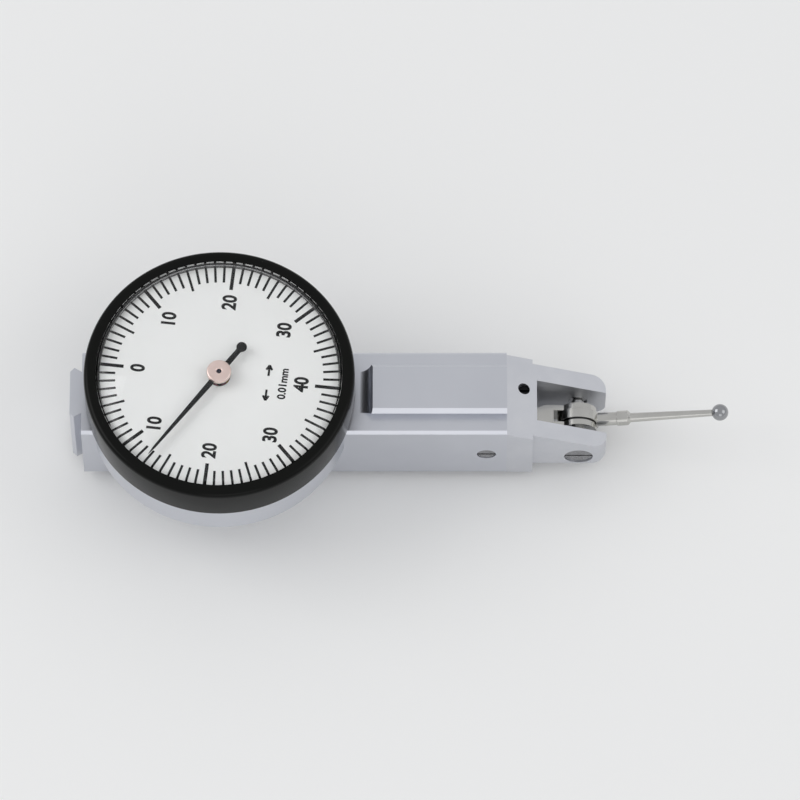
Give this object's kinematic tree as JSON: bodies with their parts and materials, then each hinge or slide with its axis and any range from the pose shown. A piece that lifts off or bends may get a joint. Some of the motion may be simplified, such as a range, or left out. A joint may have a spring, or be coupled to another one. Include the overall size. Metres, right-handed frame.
{
  "type": "dial test indicator",
  "caption": "Lever-type dial test indicator: a long bar with dovetail rails, a round black-bezelled white dial, a sloping fork nose and a swivelling ball-tipped stylus.",
  "frame": {"origin": "under the dial's axis, on the face of the lower dovetail rail", "axes": "+X along the bar towards the stylus, +Z out of the dial"},
  "size_m": [0.0782, 0.032, 0.0209],
  "materials": {
    "satin_chrome": "satin chrome plate, ground lengthwise",
    "nose_steel": "satin chrome plate on a steel nose",
    "black_bezel": "black semi-gloss finish on turned aluminium",
    "clear_crystal": "clear moulded acrylic",
    "rubber_gasket": "matt",
    "white_dial": "matt white enamel on aluminium",
    "black_ring": "black anodised",
    "spring_steel": "drawn wire",
    "polished_steel": "ground and polished",
    "bearing_steel": "polished",
    "screw_steel": "turned, slotted",
    "movement_brass": "grained brass",
    "gear_brass": "polished brass",
    "jewel_red": "synthetic ruby",
    "black_pointer": "matt black",
    "rose_hub": "polished rose-coloured metal",
    "hairspring_bronze": "bright bronze strip"
  },
  "bodies": {
    "frame": {"body_frame": "satin_chrome", "nose_fork": "nose_steel", "nose_screws": "screw_steel", "nose_set_screw": "screw_steel", "pivot_bearings": "bearing_steel", "bearing_plugs": "screw_steel", "movement_frame": "movement_brass", "centre_cock": "movement_brass", "cock_screw": "screw_steel", "centre_jewels": "jewel_red", "arbor_jewels": "jewel_red", "bridge_pillars": "movement_brass", "upper_bridge": "movement_brass", "plate_screws": "screw_steel", "bridge_screws": "screw_steel", "hairspring_stud": "movement_brass", "hairspring": "hairspring_bronze", "bezel_spring_ring": "spring_steel"},
    "bezel_group": {"bezel": "black_bezel", "crystal": "clear_crystal", "crystal_gasket": "rubber_gasket", "dial_plate": "white_dial", "dial_ring": "black_ring"},
    "lever": {"measuring_lever": "polished_steel", "sector_gear": "gear_brass", "sector_screws": "screw_steel", "pivot_shaft": "polished_steel", "friction_washers": "spring_steel"},
    "stylus": {"stylus_hub": "polished_steel", "stylus_shank": "polished_steel", "stylus_ball": "bearing_steel"},
    "first_arbor": {"cross_arbor": "polished_steel", "crown_wheel": "gear_brass"},
    "pointer_arbor": {"centre_arbor": "polished_steel", "hairspring_collet": "gear_brass", "pointer": "black_pointer", "pointer_hub": "rose_hub"}
  },
  "joints": [
    {"name": "bezel_turn", "type": "hinge", "parent": "frame", "child": "bezel_group", "pos_m": [0, 0, 0.0155], "axis": [0, 0, 1], "continuous": true},
    {"name": "lever_pivot", "type": "hinge", "parent": "frame", "child": "lever", "pos_m": [0.0426, 0, 0.0046], "axis": [0, 1, 0], "range_deg": [-1.5, 1.5], "stiffness_Nm_per_rad": 0.19},
    {"name": "stylus_swivel", "type": "hinge", "parent": "lever", "child": "stylus", "pos_m": [0.0426, 0, 0.0046], "axis": [0, -1, 0], "range_deg": [-112, 104]},
    {"name": "first_arbor_turn", "type": "hinge", "parent": "frame", "child": "first_arbor", "pos_m": [0, 0, 0.0064], "axis": [0, 1, 0], "range_deg": [-48.5, 48.5]},
    {"name": "pointer_turn", "type": "hinge", "parent": "frame", "child": "pointer_arbor", "pos_m": [0, 0, 0.0179], "axis": [0, 0, 1], "range_deg": [-201, 201]}
  ],
  "couplings": [
    {"joint": "first_arbor_turn", "follows": "lever_pivot", "ratio": -32},
    {"joint": "pointer_turn", "follows": "lever_pivot", "ratio": -133.33}
  ]
}
